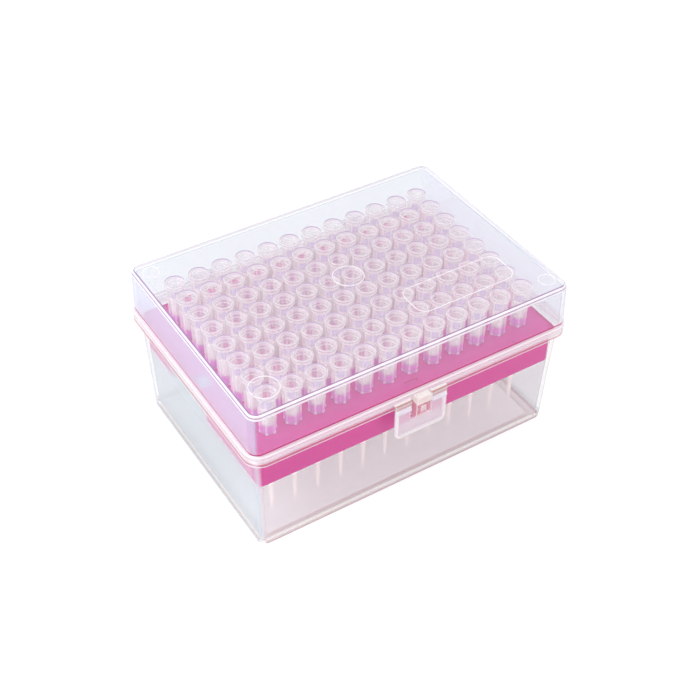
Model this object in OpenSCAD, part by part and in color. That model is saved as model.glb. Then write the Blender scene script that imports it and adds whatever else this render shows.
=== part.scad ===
// Hinged box of pipette tips: a tub with a rack that holds 96 ribbed tips, each
// with a filter plug inside, and a clear lid that turns on two clips at the
// back and is held shut by a flap at the front.
// Millimetres, +Z up, long side along X, latch towards -Y.
// Origin: bottom centre of the shut box's bounding box.

/* [Base] */
// Distance from the outer columns of tips to the tub's end walls, at its floor
end_margin = 9.35; // [9:0.05:20]
// Distance from the outer rows of tips to the tub's long walls, at its floor
side_margin = 9.45; // [9:0.05:20]
// How far each wall leans out between the floor and the rim
base_draft = 1.25; // [0:0.05:2]
// Room between the tips' points and the tub's floor
point_room = 4.8; // [2:0.1:20]
// Wall thickness of the tub
base_wall = 1.3; // [0.9:0.1:2]
// Floor thickness of the tub
floor_t = 1.4; // [0.8:0.1:3]
// Radius of the tub's upright corners
corner_r = 3.5; // [2.5:0.1:8]
// How far the rim stands out from the wall
rim_out = 2.4; // [1.6:0.1:4]
// Thickness of the tub's rim
rim_t = 1.5; // [1:0.1:3]

/* [Lid] */
// Room between the tips and the inside of the lid's top
lid_room = 2.1; // [1.6:0.1:12]
// Wall thickness of the lid
lid_wall = 1.2; // [0.8:0.1:2]
// How far each lid wall leans in between the rim and the top
lid_draft = 0.45; // [0:0.05:1.5]
// How far the lid's rim stands out from its wall
lid_rim_out = 1.05; // [0.8:0.05:2]
// Height of the lid's rim
lid_rim_h = 3; // [2.4:0.1:5]
// Radius along the lid's top edges
top_r = 2; // [1.4:0.1:3]
// Depth of the shallow marks in the lid's top
mark_depth = 0.25; // [0.1:0.05:0.4]

/* [Rack] */
// Thickness of the rack's deck
deck_t = 1.8; // [1.2:0.1:3]
// Thickness of the lip that rests on the tub's ledge
lip_t = 1; // [0.6:0.1:1.5]
// How far the lip reaches out over the ledge
lip_reach = 0.5; // [0.4:0.05:1]
// Height of the rack's skirt, measured below the lip
skirt_h = 13.5; // [6:0.5:20]
// Wall thickness of the rack's skirt
skirt_t = 1.2; // [0.8:0.1:2]
// Clearance between the rack and the tub around it
rack_gap = 0.2; // [0.1:0.05:0.5]
// Distance of the deck's top below the tub's rim
deck_drop = 0.2; // [0:0.05:1]
// Radius of the holes that hold the tips
hole_r = 2.5; // [2.4:0.05:2.8]
// Length of the notch in each short side of the skirt
notch_l = 24.6; // [10:0.1:40]
// Centre of that notch along Y
notch_y = 7.6; // [-10:0.1:10]
// Size along Y of the square hole at each end of the deck
end_hole_l = 6.6; // [2:0.1:10]
// Size along X of the square hole at each end of the deck
end_hole_w = 4.2; // [2:0.1:4.4]
// Centre of those square holes along Y
end_hole_y = -0.9; // [-10:0.1:10]
// Length of the slot near the deck's front edge
slot_l = 5; // [3:0.1:7]
// Width of that slot
slot_w = 2; // [1:0.1:2.4]
// Depth of that slot
slot_depth = 0.5; // [0.2:0.1:0.7]

/* [Tips] */
// Distance between neighbouring tips
pitch = 9; // [8.5:0.1:10]
// Full length of a tip
tip_l = 52.7; // [48:0.1:56]
// Outside radius of a tip at its rim
tip_r = 3.65; // [3.2:0.05:3.8]
// Length of the ribbed part that stands above the deck
tip_head = 16.5; // [14:0.1:18]
// Depth of the socket that takes the pipette's nozzle
socket_l = 5; // [4:0.1:7]
// Height of the plain band at the tip's rim
tip_band = 1.6; // [1:0.1:3]
// Number of ribs around a tip
ribs = 6; // [5:1:10]
// Thickness of a rib
rib_t = 0.6; // [0.4:0.05:0.8]
// Radius over the ribs
rib_r = 3.05; // [2.9:0.05:3.2]
// Radius of the filter plug inside a tip
filter_r = 1.9; // [1.4:0.05:2]
// Length of the filter plug
filter_l = 7.6; // [4:0.1:9]
// Radial clearance between a filter plug and its tip
filter_gap = 0.03; // [0:0.01:0.1]

/* [Latch] */
// Width of the latch flap
flap_w = 20; // [16:0.5:30]
// Length of the flap below its hinge
flap_l = 15.2; // [12:0.1:20]
// Thickness of the flap's plate
flap_t = 1; // [0.8:0.1:1.5]
// Radius of the bead around the flap's edge
bead_r = 0.7; // [0.6:0.05:1]
// Radius of the flap's lower corners
flap_corner_r = 2.4; // [1.5:0.1:4]
// Width of the window in the flap
window_w = 8; // [6.5:0.1:10]
// Sideways place of the latch and its catch
latch_x = -0.5; // [-20:0.1:20]
// Width of the catch block that stands in the window
catch_w = 5.5; // [4:0.1:6]
// How far the catch block stands out from the tub's rim
catch_out = 3; // [2:0.1:4]
// Distance from the flap's hinge down to the window's lower edge
window_drop = 8.4; // [7:0.1:11]
// Radius of the flap's hinge roll
roll_r = 0.5; // [0.4:0.05:0.7]
// Radial clearance around the hinge roll
roll_gap = 0.06; // [0.02:0.01:0.1]

/* [Hinge] */
// Radius of the tub's hinge pins
pin_r = 1.2; // [1:0.05:1.5]
// Radial clearance between a pin and its clip
pin_gap = 0.08; // [0.02:0.01:0.1]
// Wall thickness of the lid's clips
clip_t = 1; // [0.8:0.1:1.3]
// Width of each clip
clip_w = 8; // [5:0.5:14]
// Side clearance between a clip and its lugs
side_gap = 0.2; // [0.1:0.05:0.5]
// Thickness of the lugs that carry the pins
lug_t = 1.6; // [1.2:0.1:2.5]
// Distance of each hinge from the middle of the box
hinge_x = 32; // [20:1:40]
// Distance from the rim's back face to the pin's axis
pin_out = 2.6; // [2.5:0.1:4]
// How far the lid opens before its heels meet the tub's rim
lid_open = 117; // [90:1:125]

/* [Hidden] */

$fn = 64;
columns = 12;
rows = 8;
tiny = 0.01;
over = 1;

// Grid of tips
grid_x = (columns - 1) * pitch / 2;
grid_y = (rows - 1) * pitch / 2;

// Tub
base_l = 2 * (grid_x + end_margin);
base_w = 2 * (grid_y + side_margin);
base_h = floor_t + point_room + tip_l - tip_head + deck_drop;
neck_l = base_l + 2 * base_draft;
neck_w = base_w + 2 * base_draft;
rim_z = base_h - rim_t;
rim_l = neck_l + 2 * rim_out;
rim_w = neck_w + 2 * rim_out;
rim_r = corner_r + rim_out;
well_l = neck_l - 2 * base_wall;
well_w = neck_w - 2 * base_wall;
well_r = corner_r - base_wall;

// Rack
deck_z = base_h - deck_drop;
ledge_z = deck_z - lip_t;
lip_l = well_l + 2 * lip_reach;
lip_w = well_w + 2 * lip_reach;
lip_r = well_r + lip_reach;
skirt_z = ledge_z - skirt_h;
skirt_lean = base_draft * (rim_z - skirt_z) / rim_z;
skirt_l = well_l - 2 * (skirt_lean + rack_gap);
skirt_w = well_w - 2 * (skirt_lean + rack_gap);
skirt_r = well_r - rack_gap;
end_hole_margin = 0.6;
end_hole_x = lip_l / 2 - end_hole_margin - end_hole_w / 2;
slot_x = 1.3;
slot_margin = 0.8;
slot_y = slot_w / 2 + skirt_t + slot_margin - skirt_w / 2;
mark_pin_r = 0.65;
mark_pin_x = 41.9;
mark_pin_y = skirt_t - skirt_w / 2;

// Lid
foot_l = rim_l - 2 * lid_rim_out;
foot_w = rim_w - 2 * lid_rim_out;
foot_r = corner_r;
lid_h = tip_head - deck_drop + lid_room + lid_wall;
top_z = base_h + lid_h;
lid_in_r = foot_r - lid_wall;
top_in_r = max(top_r - lid_wall, 0.4);
groove_w = 0.5;
small_ring_x = foot_l / 2 - 5.9;
small_ring_y = foot_w / 2 - 7;
rings = [[0, 0, 5.6],
    [10.7 - foot_l / 2, 10.9 - foot_w / 2, 5.2],
    [-small_ring_x, small_ring_y, 3.1],
    [small_ring_x, -small_ring_y, 3.1]];
panel_l = 39.5;
panel_w = 14;
panel_r = 4;
panel_x = 29.2;
panel_y = -22.7;

// Tips
tip_top = deck_z + tip_head;
rib_foot_r = hole_r + 0.4;
stem_r = hole_r - 0.3;
stem_z = -tip_head - 2;
collar_chamfer = 0.4;
shoulder_l = 0.8;
filter_bore_r = filter_r + filter_gap;
core_r = filter_bore_r + 0.42;
filter_top = -socket_l - shoulder_l;
filter_end = filter_top - filter_l;
filter_seat = 0.35;
filter_edge = 0.15;
rib_root_r = min(stem_r, core_r) - 0.1;
rib_z = 0.1 - tip_band;
knee_z = -0.57 * tip_l;
knee_r = 1.3;
point_r = 0.5;
bore_r = tip_r - 0.9;
bore_taper = 0.25;
bore_knee_r = knee_r - 0.4;
bore_point_r = point_r - 0.2;
collar_r = bore_r + 0.2;

// Latch
rim_front = -rim_w / 2;
roll_y = rim_front - 0.3;
roll_z = base_h + 1.1;
flap_y = rim_front - 0.4 - flap_t;
flap_z = roll_z - flap_l;
shoulder_z = roll_z - 1.9;
window_z = roll_z - window_drop;
catch_front = rim_front - catch_out;
catch_gap = 0.3;
catch_root_y = base_wall / 2 - neck_w / 2;
catch_foot_y = -neck_w / 2 - 0.9;
catch_body_y = catch_front + 0.45;
catch_nose_y = flap_y - 0.2;
catch_foot_z = window_z + catch_gap;
catch_slope = 1.6;
head_z = base_h - 0.3;
head_t = 2.8;
lid_clear = 0.15;
shoulder_in = 0.25;
leaf_x = (window_w + flap_w) / 4;
leaf_w = (flap_w - window_w) / 2;
leaf_gap = 0.2;

// Hinge
pin_y = rim_w / 2 + pin_out;
pin_z = base_h;
clip_bore = pin_r + pin_gap;
clip_r = clip_bore + clip_t;
lug_r = pin_r + 0.7;
lug_drop = 6;
lug_shoulder = 2;
lug_angle = -30;
heel_t = 1.2;
heel_w = clip_w - 1;
heel_root = clip_bore + 0.2;
arm_low = 0.9;
arm_top = lid_rim_h - 0.4;
arm_in = 0.6;
arm_angle = 80;
arm_foot = 0.3;
rim_corner = [-pin_out, -rim_t];
heel_l = norm(rim_corner) + 0.6;
corner_angle = 180 + atan(rim_t / pin_out);
heel_angle = corner_angle + asin(heel_t / 2 / norm(rim_corner)) + lid_open - 360;
mouth = 100;
mouth_angle = 250;

// The catch reaches furthest forward and a heel furthest back, so the
// whole box moves along Y until its bounding box is centred.
heel_tip = heel_l * cos(heel_angle) + heel_t / 2 * abs(sin(heel_angle));
back_reach = pin_y + max(heel_tip, clip_r);
shift_y = (-catch_front - back_reach) / 2;

// A flat slab with round corners, its lowest face at z
module slab(l, w, r, z, h) {
    translate([0, 0, z]) {
        translate([-l / 2 + r, -w / 2, 0]) cube([l - 2 * r, w, h]);
        translate([-l / 2, -w / 2 + r, 0]) cube([l, w - 2 * r, h]);
        for (sx = [-1, 1], sy = [-1, 1])
            translate([sx * (l / 2 - r), sy * (w / 2 - r), 0])
                cylinder(r = r, h = h);
    }
}

// A drafted block with round upright corners
module drafted(l0, w0, z0, l1, w1, z1, r) {
    hull()
        for (end = [[l0, w0, z0], [l1, w1, z1 - tiny]], sx = [-1, 1], sy = [-1, 1])
            translate([sx * (end[0] / 2 - r), sy * (end[1] / 2 - r), end[2]])
                cylinder(r = r, h = tiny, $fn = 32);
}

// A corner post whose upper edge is rounded by edge_r
module round_post(r, edge_r, h) {
    steps = 6;
    arc = [for (i = [0:steps])
        let (a = 90 * i / steps)
        [r - edge_r + edge_r * cos(a), h - edge_r + edge_r * sin(a)]];
    rotate_extrude($fn = 32)
        polygon(concat([[0, 0], [r, 0]], arc, [[0, h]]));
}

// The lid's outer or inner block: drafted, with a rounded top edge
module cover(l0, w0, r, edge_r, h, lean) {
    hull() {
        for (sx = [-1, 1], sy = [-1, 1])
            translate([sx * (l0 / 2 - r), sy * (w0 / 2 - r), 0])
                cylinder(r = r, h = tiny, $fn = 32);
        for (sx = [-1, 1], sy = [-1, 1])
            translate([sx * (l0 / 2 - lean - r), sy * (w0 / 2 - lean - r), 0])
                round_post(r, edge_r, h);
    }
}

// A bar along X with its end at x
module bar_x(x, y, z, r, length) {
    translate([x, y, z]) rotate([0, 90, 0]) cylinder(r = r, h = length);
}

// A prism along X, centred on x, from an outline in Y and Z
module prism_x(x, width, outline) {
    translate([x - width / 2, 0, 0])
        rotate([90, 0, 90])
            linear_extrude(height = width)
                polygon(outline);
}

// Places a piece in the centred frame
module placed() {
    translate([0, shift_y, 0]) children();
}

// Two lugs with a pin between them, at the back of the tub
module hinge_lugs(x) {
    gap = clip_w + 2 * side_gap;
    for (side = [-1, 1])
        translate([side * (gap + lug_t) / 2, 0, 0]) {
            bar_x(x - lug_t / 2, pin_y, pin_z, lug_r, lug_t);
            prism_x(x, lug_t, [
                [neck_w / 2 - base_wall / 2, rim_z - lug_drop],
                [rim_w / 2, rim_z - lug_shoulder],
                [pin_y + lug_r * cos(lug_angle), pin_z + lug_r * sin(lug_angle)],
                [pin_y, pin_z],
                [rim_w / 2 - 1, rim_z]]);
        }
    bar_x(x - gap / 2 - tiny, pin_y, pin_z, pin_r, gap + 2 * tiny);
}

// The block at the front that the flap's window snaps over
module catch_block() {
    // Body, from the tub's wall out through the window
    prism_x(latch_x, catch_w, [
        [catch_root_y, catch_foot_z - catch_slope],
        [catch_foot_y, catch_foot_z],
        [catch_nose_y, catch_foot_z],
        [catch_body_y, catch_foot_z + catch_slope],
        [catch_body_y, head_z + tiny],
        [catch_root_y, head_z + tiny]]);
    // Head, clear of the lid's rim behind it
    prism_x(latch_x, catch_w, [
        [catch_root_y, head_z],
        [catch_front, head_z],
        [catch_front, head_z + head_t],
        [rim_front - lid_clear, head_z + head_t],
        [rim_front - lid_clear, base_h],
        [catch_root_y, base_h]]);
}

module base() {
    color([0.88, 0.89, 0.93, 0.5])
    placed()
    difference() {
        union() {
            drafted(base_l, base_w, 0, neck_l, neck_w, rim_z + tiny, corner_r);
            slab(rim_l, rim_w, rim_r, rim_z, rim_t);
            catch_block();
            for (side = [-1, 1]) hinge_lugs(side * hinge_x);
        }
        // Well
        drafted(base_l - 2 * base_wall, base_w - 2 * base_wall, floor_t,
            well_l, well_w, rim_z + 2 * tiny, well_r);
        translate([0, 0, rim_z])
            slab(well_l, well_w, well_r, 0, rim_t + over);
        // Seat for the rack's lip
        slab(lip_l + 2 * rack_gap, lip_w + 2 * rack_gap, lip_r + rack_gap, ledge_z, over + rim_t);
    }
}

module rack() {
    color([0.89, 0.42, 0.66])
    placed()
    difference() {
        union() {
            slab(lip_l, lip_w, lip_r, ledge_z, lip_t);
            slab(skirt_l, skirt_w, skirt_r, skirt_z, ledge_z - skirt_z + tiny);
        }
        // Inside of the skirt
        slab(skirt_l - 2 * skirt_t, skirt_w - 2 * skirt_t, skirt_r - skirt_t,
            skirt_z - over, deck_z - deck_t - skirt_z + over);
        // Tip holes
        for (i = [0:columns - 1], j = [0:rows - 1])
            translate([i * pitch - grid_x, j * pitch - grid_y, skirt_z])
                cylinder(r = hole_r, h = deck_z - skirt_z + over);
        // Notches and square holes in the short sides
        for (side = [-1, 1]) {
            translate([side * skirt_l / 2 - skirt_t - over, notch_y - notch_l / 2, skirt_z - over])
                cube([2 * (skirt_t + over), notch_l, deck_z - deck_t - skirt_z + over]);
            translate([side * end_hole_x - end_hole_w / 2, end_hole_y - end_hole_l / 2, skirt_z])
                cube([end_hole_w, end_hole_l, deck_z - skirt_z + over]);
        }
        // Slot and round mark in the deck's front margin
        translate([slot_x - slot_l / 2, slot_y - slot_w / 2, deck_z - slot_depth])
            cube([slot_l, slot_w, slot_depth + over]);
        translate([mark_pin_x, mark_pin_y, deck_z - mark_depth])
            cylinder(r = mark_pin_r, h = over);
    }
}

// One tip, hanging from the middle of its rim's top
module tip() {
    difference() {
        union() {
            rotate_extrude()
                polygon([
                    [0, 0], [tip_r, 0], [tip_r, -tip_band],
                    [collar_r, -tip_band - collar_chamfer],
                    [collar_r, -socket_l],
                    [core_r, -socket_l - shoulder_l],
                    [stem_r, stem_z],
                    [knee_r, knee_z],
                    [point_r, -tip_l],
                    [0, -tip_l]]);
            for (i = [0:ribs - 1])
                rotate([90, 0, 360 * (i + 0.5) / ribs])
                    translate([0, 0, -rib_t / 2])
                        linear_extrude(height = rib_t)
                            polygon([
                                [rib_root_r, rib_z],
                                [rib_r, rib_z],
                                [rib_r, -tip_head / 2],
                                [rib_foot_r, -tip_head],
                                [rib_root_r, -tip_head]]);
        }
        rotate_extrude()
            polygon([
                [0, over], [bore_r, over], [bore_r, 0],
                [bore_r - bore_taper, -socket_l],
                [filter_bore_r, filter_top],
                [filter_bore_r, filter_end],
                [filter_bore_r - filter_seat, filter_end],
                [bore_knee_r, knee_z],
                [bore_point_r, -tip_l],
                [bore_point_r, -tip_l - over],
                [0, -tip_l - over]]);
    }
}

// Places a copy at each tip of a column, counted from 1 at the left
module in_column(number) {
    placed()
        for (j = [0:rows - 1])
            translate([(number - 1) * pitch - grid_x, j * pitch - grid_y, tip_top])
                children();
}

module tips_column(number) {
    color([0.93, 0.90, 0.92, 0.7]) in_column(number) tip();
}

// The porous plugs in one column of tips
module filters_column(number) {
    color([0.97, 0.96, 0.95])
        in_column(number)
            rotate_extrude()
                polygon([
                    [0, filter_top], [filter_r - filter_edge, filter_top],
                    [filter_r, filter_top - filter_edge],
                    [filter_r, filter_end + filter_edge],
                    [filter_r - filter_edge, filter_end], [0, filter_end]]);
}

// The arm at the back of the lid that clips over a pin
module clip(x) {
    difference() {
        union() {
            bar_x(x - clip_w / 2, pin_y, pin_z, clip_r, clip_w);
            prism_x(x, clip_w, [
                [rim_w / 2 - arm_in, base_h + arm_low],
                [rim_w / 2 - arm_in, base_h + arm_top],
                [rim_w / 2 + arm_in, base_h + arm_top],
                [pin_y + clip_r * cos(arm_angle), pin_z + clip_r * sin(arm_angle)],
                [pin_y, pin_z + heel_root],
                [pin_y - clip_bore - arm_foot, pin_z + arm_foot]]);
            translate([x - heel_w / 2, pin_y, pin_z])
                rotate([heel_angle, 0, 0])
                    translate([0, heel_root, -heel_t / 2])
                        cube([heel_w, heel_l - heel_root, heel_t]);
        }
        bar_x(x - clip_w / 2 - over, pin_y, pin_z, clip_bore, clip_w + 2 * over);
        // Mouth that snaps over the pin
        translate([x, pin_y, pin_z])
            rotate([mouth_angle - 360, 0, 0])
                prism_x(0, clip_w + 2 * over, [
                    [0, 0],
                    [2 * clip_r, -2 * clip_r * tan(mouth / 2)],
                    [2 * clip_r, 2 * clip_r * tan(mouth / 2)]]);
    }
}

// Shallow marks in the lid's top: a ring in the middle, a ring in one
// corner, a small ring in two others and the outline of a writing panel
module lid_marks() {
    z = top_z - mark_depth;
    for (at = rings)
        translate([at[0], at[1], z])
            difference() {
                cylinder(r = at[2], h = over);
                translate([0, 0, -over / 2])
                    cylinder(r = at[2] - groove_w, h = 2 * over);
            }
    translate([panel_x, panel_y, 0])
        difference() {
            slab(panel_l, panel_w, panel_r, z, over);
            slab(panel_l - 2 * groove_w, panel_w - 2 * groove_w, panel_r - groove_w,
                z - over / 2, 2 * over);
        }
}

module lid() {
    color([0.9, 0.92, 0.96, 0.35])
    placed()
    difference() {
        union() {
            translate([0, 0, base_h])
                cover(foot_l, foot_w, foot_r, top_r, lid_h, lid_draft);
            slab(rim_l, rim_w, rim_r, base_h, lid_rim_h);
            for (side = [-1, 1]) clip(side * hinge_x);
        }
        translate([0, 0, base_h - tiny])
            cover(foot_l - 2 * lid_wall, foot_w - 2 * lid_wall, lid_in_r, top_in_r,
                lid_h - lid_wall + tiny, lid_draft);
        lid_marks();
        // Round groove in the rim's front that the flap's roll turns in
        for (side = [-1, 1])
            bar_x(latch_x + side * leaf_x - leaf_w / 2 - leaf_gap, roll_y, roll_z,
                roll_r + roll_gap, leaf_w + 2 * leaf_gap);
    }
}

module latch_flap() {
    half = flap_w / 2;
    mid_y = flap_y + flap_t / 2;
    color([0.93, 0.92, 0.95, 0.6])
    placed()
    translate([latch_x, 0, 0])
    difference() {
        union() {
            // Plate with round lower corners
            translate([0, flap_y + flap_t, 0])
                rotate([90, 0, 0])
                    linear_extrude(height = flap_t)
                        union() {
                            translate([-half, flap_z + flap_corner_r])
                                square([flap_w, shoulder_z - flap_z - flap_corner_r]);
                            translate([-half + flap_corner_r, flap_z])
                                square([flap_w - 2 * flap_corner_r, flap_corner_r + tiny]);
                            for (side = [-1, 1])
                                translate([side * (half - flap_corner_r), flap_z + flap_corner_r])
                                    circle(r = flap_corner_r);
                        }
            // Shoulder up to the hinge roll
            prism_x(0, flap_w, [
                [flap_y, shoulder_z - tiny],
                [flap_y + flap_t, shoulder_z - tiny],
                [roll_y, roll_z - 0.9 * roll_r],
                [roll_y, roll_z],
                [roll_y - roll_r * sin(30), roll_z + roll_r * cos(30)],
                [flap_y + shoulder_in, roll_z - 2 * shoulder_in],
                [flap_y, roll_z - 4 * shoulder_in]]);
            bar_x(-half, roll_y, roll_z, roll_r, flap_w);
            // Bead along both sides, the lower edge and the corners between
            for (side = [-1, 1]) {
                translate([side * (half - bead_r), mid_y, flap_z + flap_corner_r])
                    cylinder(r = bead_r, h = shoulder_z - flap_z - flap_corner_r);
                translate([side * (half - flap_corner_r), mid_y, flap_z + flap_corner_r])
                    rotate([90, side == 1 ? 90 : 180, 0])
                        rotate_extrude(angle = 90)
                            translate([flap_corner_r - bead_r, 0]) circle(r = bead_r);
            }
            bar_x(-half + flap_corner_r, mid_y, flap_z + bead_r, bead_r, flap_w - 2 * flap_corner_r);
        }
        // Window, open through the hinge line
        translate([-window_w / 2, flap_y - 2 * over, window_z])
            cube([window_w, flap_t + 4 * over, roll_z - window_z + over]);
    }
}

base();
rack();
tips_column(1);  // tips_column_1
tips_column(2);  // tips_column_2
tips_column(3);  // tips_column_3
tips_column(4);  // tips_column_4
tips_column(5);  // tips_column_5
tips_column(6);  // tips_column_6
tips_column(7);  // tips_column_7
tips_column(8);  // tips_column_8
tips_column(9);  // tips_column_9
tips_column(10);  // tips_column_10
tips_column(11);  // tips_column_11
tips_column(12);  // tips_column_12
filters_column(1);  // filters_column_1
filters_column(2);  // filters_column_2
filters_column(3);  // filters_column_3
filters_column(4);  // filters_column_4
filters_column(5);  // filters_column_5
filters_column(6);  // filters_column_6
filters_column(7);  // filters_column_7
filters_column(8);  // filters_column_8
filters_column(9);  // filters_column_9
filters_column(10);  // filters_column_10
filters_column(11);  // filters_column_11
filters_column(12);  // filters_column_12
lid();
latch_flap();
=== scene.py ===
import math
import random

import bmesh
import bpy
from mathutils import Matrix, Vector


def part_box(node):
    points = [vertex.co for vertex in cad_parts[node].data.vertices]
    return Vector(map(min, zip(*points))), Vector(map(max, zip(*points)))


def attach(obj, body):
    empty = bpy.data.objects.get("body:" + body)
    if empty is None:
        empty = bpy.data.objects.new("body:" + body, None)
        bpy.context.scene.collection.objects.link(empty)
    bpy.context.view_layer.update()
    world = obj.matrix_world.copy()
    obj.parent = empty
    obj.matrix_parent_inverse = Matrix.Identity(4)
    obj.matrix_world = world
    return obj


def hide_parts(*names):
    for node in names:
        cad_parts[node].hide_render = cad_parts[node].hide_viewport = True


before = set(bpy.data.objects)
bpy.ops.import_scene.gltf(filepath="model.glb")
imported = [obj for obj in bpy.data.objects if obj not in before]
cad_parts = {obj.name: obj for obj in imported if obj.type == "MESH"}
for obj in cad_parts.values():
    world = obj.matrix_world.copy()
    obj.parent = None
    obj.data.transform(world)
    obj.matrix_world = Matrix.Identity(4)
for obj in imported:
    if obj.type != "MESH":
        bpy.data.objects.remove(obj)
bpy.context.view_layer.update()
MM = 0.001

# ---------------------------------------------------------------- table and light
# The box stands on a plain pale table in a white studio tent. One large soft
# lamp stands to the left, and a weaker one to the right of the front.
scene = bpy.context.scene
scene.view_settings.view_transform = "Standard"
scene.cycles.max_bounces = 8
scene.cycles.diffuse_bounces = 4
scene.cycles.glossy_bounces = 2
scene.cycles.transparent_max_bounces = 96

EYE_AT = Vector((-179.7, -283.5, 327.1)) * MM
EYE_TURN, EYE_RISE, EYE_LEAN = (math.radians(a) for a in (-32.665, 41.747, 0.652))
eye_data = bpy.data.cameras.new("eye")
eye_data.sensor_width, eye_data.lens = 36.0, 65.17
eye_data.clip_start, eye_data.clip_end = 0.01, 20
eye = bpy.data.objects.new("eye", eye_data)
scene.collection.objects.link(eye)
scene.camera = eye
backward = Vector((math.sin(EYE_TURN) * math.cos(EYE_RISE),
                   -math.cos(EYE_TURN) * math.cos(EYE_RISE), math.sin(EYE_RISE)))
across = Vector((0, 0, 1)).cross(backward).normalized()
upward = backward.cross(across)
eye.matrix_world = Matrix.Translation(EYE_AT) @ Matrix((
    across * math.cos(EYE_LEAN) + upward * math.sin(EYE_LEAN),
    upward * math.cos(EYE_LEAN) - across * math.sin(EYE_LEAN),
    backward)).transposed().to_4x4()


def lamp(name, at, aim, size, power, colour):
    """A square soft lamp that faces a point."""
    data = bpy.data.lights.new(name, "AREA")
    data.shape, data.size, data.energy, data.color = "SQUARE", size, power, colour
    body = bpy.data.objects.new(name, data)
    body.location = at
    body.rotation_euler = (Vector(at) - Vector(aim)).to_track_quat("Z", "Y").to_euler()
    scene.collection.objects.link(body)


lamp("window_left", (-0.75, -0.05, 0.55), (0, 0, 0.03), 0.7, 5.6, (0.95, 0.98, 1.0))
lamp("fill_front", (0.35, -0.8, 0.6), (0, 0, 0.03), 0.6, 2.9, (1.0, 0.93, 0.96))
lamp("top", (0.1, 0.25, 1.0), (0, 0, 0.03), 0.9, 3.7, (1.0, 0.98, 0.99))


def maths(tree, operation, *values):
    """A math node fed by numbers or sockets."""
    node = tree.nodes.new("ShaderNodeMath")
    node.operation = operation
    for i, value in enumerate(values):
        if isinstance(value, (int, float)):
            node.inputs[i].default_value = value
        else:
            tree.links.new(value, node.inputs[i])
    return node.outputs[0]


def looked_at(tree):
    """1 for rays that carry the view, straight, mirrored or bent, and 0 for
    rays that only gather light."""
    ray = tree.nodes.new("ShaderNodeLightPath")
    unbent = maths(tree, "MAXIMUM", ray.outputs["Is Camera Ray"], ray.outputs["Is Glossy Ray"])
    return maths(tree, "MAXIMUM", unbent, ray.outputs["Is Transmission Ray"])


world = bpy.data.worlds.new("tent")
scene.world = world
world.use_nodes = True
sky = world.node_tree
sky.nodes.clear()
tent_light = sky.nodes.new("ShaderNodeBackground")
tent_light.inputs["Color"].default_value = (0.97, 0.985, 1.0, 1)
tent_light.inputs["Strength"].default_value = 0.55
tent_seen = sky.nodes.new("ShaderNodeBackground")
tent_seen.inputs["Color"].default_value = (1, 1, 1, 1)
tent_mix = sky.nodes.new("ShaderNodeMixShader")
tent_out = sky.nodes.new("ShaderNodeOutputWorld")
sky.links.new(looked_at(sky), tent_mix.inputs[0])
sky.links.new(tent_light.outputs[0], tent_mix.inputs[1])
sky.links.new(tent_seen.outputs[0], tent_mix.inputs[2])
sky.links.new(tent_mix.outputs[0], tent_out.inputs["Surface"])

table_mesh = bpy.data.meshes.new("table")
REACH = 6.0
table_mesh.from_pydata([(-REACH, -REACH, 0), (REACH, -REACH, 0), (REACH, REACH, 0),
                        (-REACH, REACH, 0)], [], [(0, 1, 2, 3)])
table = bpy.data.objects.new("table", table_mesh)
scene.collection.objects.link(table)
laminate = bpy.data.materials.new("laminate")
laminate.use_nodes = True
nodes, links = laminate.node_tree.nodes, laminate.node_tree.links
nodes.clear()
matt = nodes.new("ShaderNodeBsdfDiffuse")
matt.inputs["Color"].default_value = (0.86, 0.86, 0.87, 1)
pale = nodes.new("ShaderNodeBsdfDiffuse")
pale.inputs["Color"].default_value = (0.4, 0.4, 0.4, 1)
glow = nodes.new("ShaderNodeEmission")
glow.inputs["Strength"].default_value = 0.68
lit = nodes.new("ShaderNodeAddShader")
mix = nodes.new("ShaderNodeMixShader")
out = nodes.new("ShaderNodeOutputMaterial")
links.new(pale.outputs[0], lit.inputs[0])
links.new(glow.outputs[0], lit.inputs[1])
links.new(looked_at(laminate.node_tree), mix.inputs[0])
links.new(matt.outputs[0], mix.inputs[1])
links.new(lit.outputs[0], mix.inputs[2])
links.new(mix.outputs[0], out.inputs["Surface"])
table_mesh.materials.append(laminate)

# ---------------------------------------------------------------- tub
# The lower half of the box: one thin moulding in milky polypropylene, drafted
# so that it leaves its tool, with a stiff rim that carries the rack and lid.
rack_low, rack_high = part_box("rack")
MIDDLE = (rack_low.y + rack_high.y) / 2 / MM
RIM_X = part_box("base")[1].x / MM
RIM_Y = 44.6
NARROWER = RIM_X - RIM_Y
SEAM, LEDGE, RIM_UNDER, FLOOR = 42.6, 41.4, 41.1, 1.4
# milk that a dark line gets on the right and the back instead: a painted white highlight
FAR_HIGHLIGHT = 0.8


def soften(points, steps):
    """Rounds the edges of an outline. A point is (out, up, corner radius,
    edge radius). Gives a list of (out, up, corner radius), and for each
    point of the outline its place in that list."""
    path, places = [], []
    for i, (x, z, corner, edge) in enumerate(points):
        if edge <= 0 or i in (0, len(points) - 1):
            places.append(len(path))
            path.append((x, z, corner))
            continue
        places.append(len(path) + steps // 2)
        here = Vector((x, z))
        before = Vector(points[i - 1][:2]) - here
        after = Vector(points[i + 1][:2]) - here
        angle = before.angle(after)
        cut = min(edge / math.tan(angle / 2), 0.48 * before.length, 0.48 * after.length)
        radius = cut * math.tan(angle / 2)
        centre = here + (before.normalized() + after.normalized()).normalized() * (
            radius / math.sin(angle / 2))
        start = (here + before.normalized() * cut - centre).normalized()
        end = (here + after.normalized() * cut - centre).normalized()
        sweep = math.pi - angle
        for k in range(steps + 1):
            t = k / steps
            spoke = (start * math.sin((1 - t) * sweep) + end * math.sin(t * sweep)) / math.sin(sweep)
            at = centre + spoke * radius
            path.append((at.x, at.y, max(at.x - x + corner, 0.1)))
    return path, places


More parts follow.
